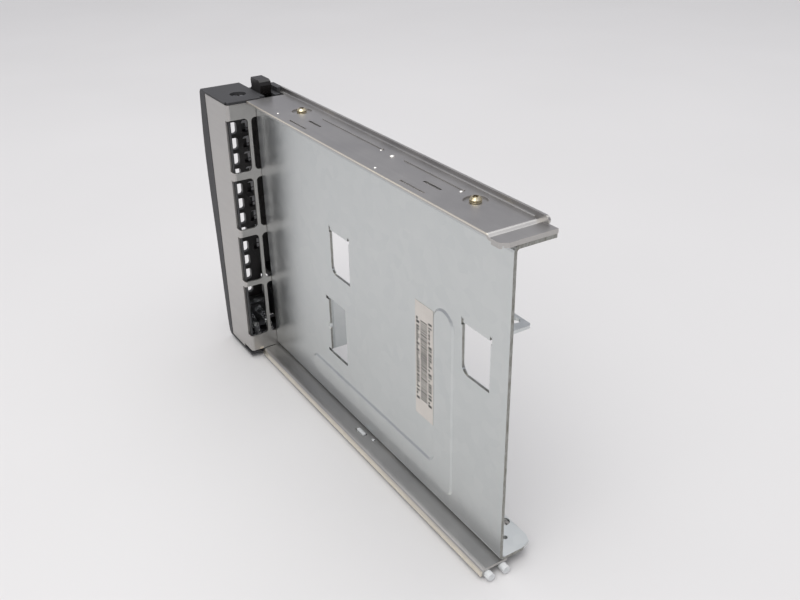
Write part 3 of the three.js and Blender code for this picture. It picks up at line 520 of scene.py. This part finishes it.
def make_rail_pips(looks):
    low, high = corners("upper_rail")
    web = high.z - RAIL_LIP_HEIGHT
    mesh = bmesh.new()
    for ahead, inward, radius in RAIL_PIPS:
        centre = Vector((high.x - ahead * MM, low.y + inward * MM, web - PIP_SUNK))
        rings = []
        for tilt in PIP_TILTS:
            reach = radius * MM * math.cos(math.radians(tilt))
            height = PIP_DOME * radius * MM * math.sin(math.radians(tilt))
            rings.append([mesh.verts.new(centre + Vector((x, y, height)))
                          for x, y in ring_points(reach, PIP_SIDES)])
        for lower, upper in zip(rings, rings[1:]):
            join_rings(mesh, lower, upper)
        mesh.faces.new(rings[-1])
        mesh.faces.new(rings[0][::-1])
    finished("rail_pips", mesh, looks["pip_painted_glint"], "tray")


LINER_DEPTH = 3.54 * MM  # from the lever's front to the liner
LINER_WIDTH, LINER_HEIGHT, LINER_SHEET = 9.6 * MM, 62.5 * MM, 0.1 * MM
LINER_IN, LINER_UP = 0.3 * MM, 8.5 * MM  # from the lever's lowest corner
RIBS, RIB_RISE = 10, 0.08 * MM


def make_lever_liner(looks):
    """The ribbed liner on the lever's inner face, behind the grille's far column."""
    low, _ = corners("lever_handle")
    mesh = bmesh.new()
    bmesh.ops.create_grid(mesh, x_segments=4, y_segments=40, size=0.5)
    for vertex in mesh.verts:
        across, along = vertex.co.x + 0.5, vertex.co.y + 0.5
        ribbed = RIB_RISE * (1 + math.cos(2 * math.pi * RIBS * along))
        place = (LINER_DEPTH - ribbed, LINER_IN + across * LINER_WIDTH, LINER_UP + along * LINER_HEIGHT)
        vertex.co = low + Vector(place)
    bmesh.ops.solidify(mesh, geom=mesh.faces[:], thickness=-LINER_SHEET)
    finished("lever_liner", mesh, looks["liner_plastic"], "lever")


def make_button_spring(looks):
    """The coil under the release button."""
    low, high = corners("button_return_spring")
    middle = (low + high) / 2
    wire = 0.25 * MM  # radius
    radius = (high.x - low.x) / 2 - wire
    rise = high.z - low.z - 2 * wire
    turns, steps, sides = 5, 120, 8
    climb = rise / (2 * math.pi * turns * radius)
    mesh = bmesh.new()
    rings = []
    for step in range(steps + 1):
        angle = 2 * math.pi * turns * step / steps
        outward = Vector((math.cos(angle), math.sin(angle), 0))
        along = Vector((-math.sin(angle), math.cos(angle), climb)).normalized()
        upward = along.cross(outward)
        centre = Vector((middle.x, middle.y, low.z + wire + rise * step / steps)) + outward * radius
        rings.append([mesh.verts.new(centre + outward * x + upward * y)
                      for x, y in ring_points(wire, sides)])
    for lower, upper in zip(rings, rings[1:]):
        join_rings(mesh, lower, upper)
    mesh.faces.new(rings[0][::-1])
    mesh.faces.new(rings[-1])
    piece = finished("button_spring_coil", mesh, looks["spring_steel"], "tray")
    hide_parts("button_return_spring")
    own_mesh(piece)


# ---- floor, light ------------------------------------------------------------------------------
def floor_look():
    look = Look("pale_floor", Roughness=0.75, Specular_IOR_Level=0.1)
    clouds = look.spread(look.noise(6.0, 2, 0.5), 0.3, 0.7, 0.0, 1.0)
    shade = look.mixed(clouds, (0.70, 0.69, 0.685), (0.72, 0.71, 0.705))
    return look.finish(shade, None, look.bump(look.noise(900.0, 2, 0.5), 0.00002, 0.2))


FLOOR_RADII = (0.15, 0.4, 0.8, 1.6, 3.0)
FLOOR_SIDES = 64
FLOOR_HEIGHT = -0.2 * MM


def make_floor():
    mesh = bmesh.new()
    centre = mesh.verts.new((0, 0, FLOOR_HEIGHT))
    previous = None
    for radius in FLOOR_RADII:
        ring = [mesh.verts.new((x, y, FLOOR_HEIGHT)) for x, y in ring_points(radius, FLOOR_SIDES)]
        for side in range(FLOOR_SIDES):
            after = (side + 1) % FLOOR_SIDES
            if previous:
                mesh.faces.new((previous[side], ring[side], ring[after], previous[after]))
            else:
                mesh.faces.new((centre, ring[side], ring[after]))
        previous = ring
    place_mesh("floor", mesh, floor_look())


def make_world():
    """A soft room: pale grey all round, brighter overhead."""
    world = bpy.data.worlds.new("world")
    world.use_nodes = True
    tree = world.node_tree
    place = tree.nodes.new("ShaderNodeTexCoord")
    parts = tree.nodes.new("ShaderNodeSeparateXYZ")
    ramp = tree.nodes.new("ShaderNodeValToRGB")
    tree.links.new(place.outputs["Generated"], parts.inputs[0])
    tree.links.new(parts.outputs["Z"], ramp.inputs[0])
    tree.links.new(ramp.outputs[0], tree.nodes["Background"].inputs["Color"])
    wall, ceiling, ceiling_start = (0.42, 0.42, 0.455, 1), (1.15, 1.15, 1.16, 1), 0.55
    elements = ramp.color_ramp.elements
    elements[0].position = 0.0
    elements[0].color = wall
    elements[1].position = 1.0
    elements[1].color = ceiling
    elements.new(ceiling_start).color = wall
    bpy.context.scene.world = world


def area_light(name, place, aim, size, power, color):
    data = bpy.data.lights.new(name, "AREA")
    data.shape = "RECTANGLE"
    data.size, data.size_y = size
    data.energy = power
    data.color = color
    light = bpy.data.objects.new(name, data)
    direction = Vector(aim) - Vector(place)
    light.matrix_world = Matrix.Translation(place) @ direction.to_track_quat("-Z", "Y").to_matrix().to_4x4()
    bpy.context.scene.collection.objects.link(light)


def make_lights():
    area_light("key", (0.35, -0.55, 0.85), (0, 0, 0.05), (0.9, 0.9), 4.2, (1.0, 0.985, 0.96))
    area_light("top", (-0.1, 0.15, 1.1), (0, 0, 0), (1.2, 1.2), 4.0, (0.98, 0.985, 1.0))


# Pieces whose finish differs from the rest of their slot.
OWN_FINISH = {"light_pipe_holder": "clear_holder", "light_pipe_outer": "clear_pipe",
              "light_pipe_inner": "clear_pipe", "bezel_screw_upper": "dull_steel"}


def dress_nodes(looks):
    smooth_group = smoothing()
    for row in frame["record"]["subparts"]:
        node, slot = row["node"], row["material_slot"]
        dress(node, slot, looks[OWN_FINISH.get(node, slot)], smooth_group)


make_camera()
looks = make_looks()
dress_nodes(looks)
make_label_print(looks)
make_rail_pips(looks)
make_lever_liner(looks)
make_button_spring(looks)
make_floor()
make_world()
make_lights()
bpy.context.scene.view_settings.view_transform = "Standard"
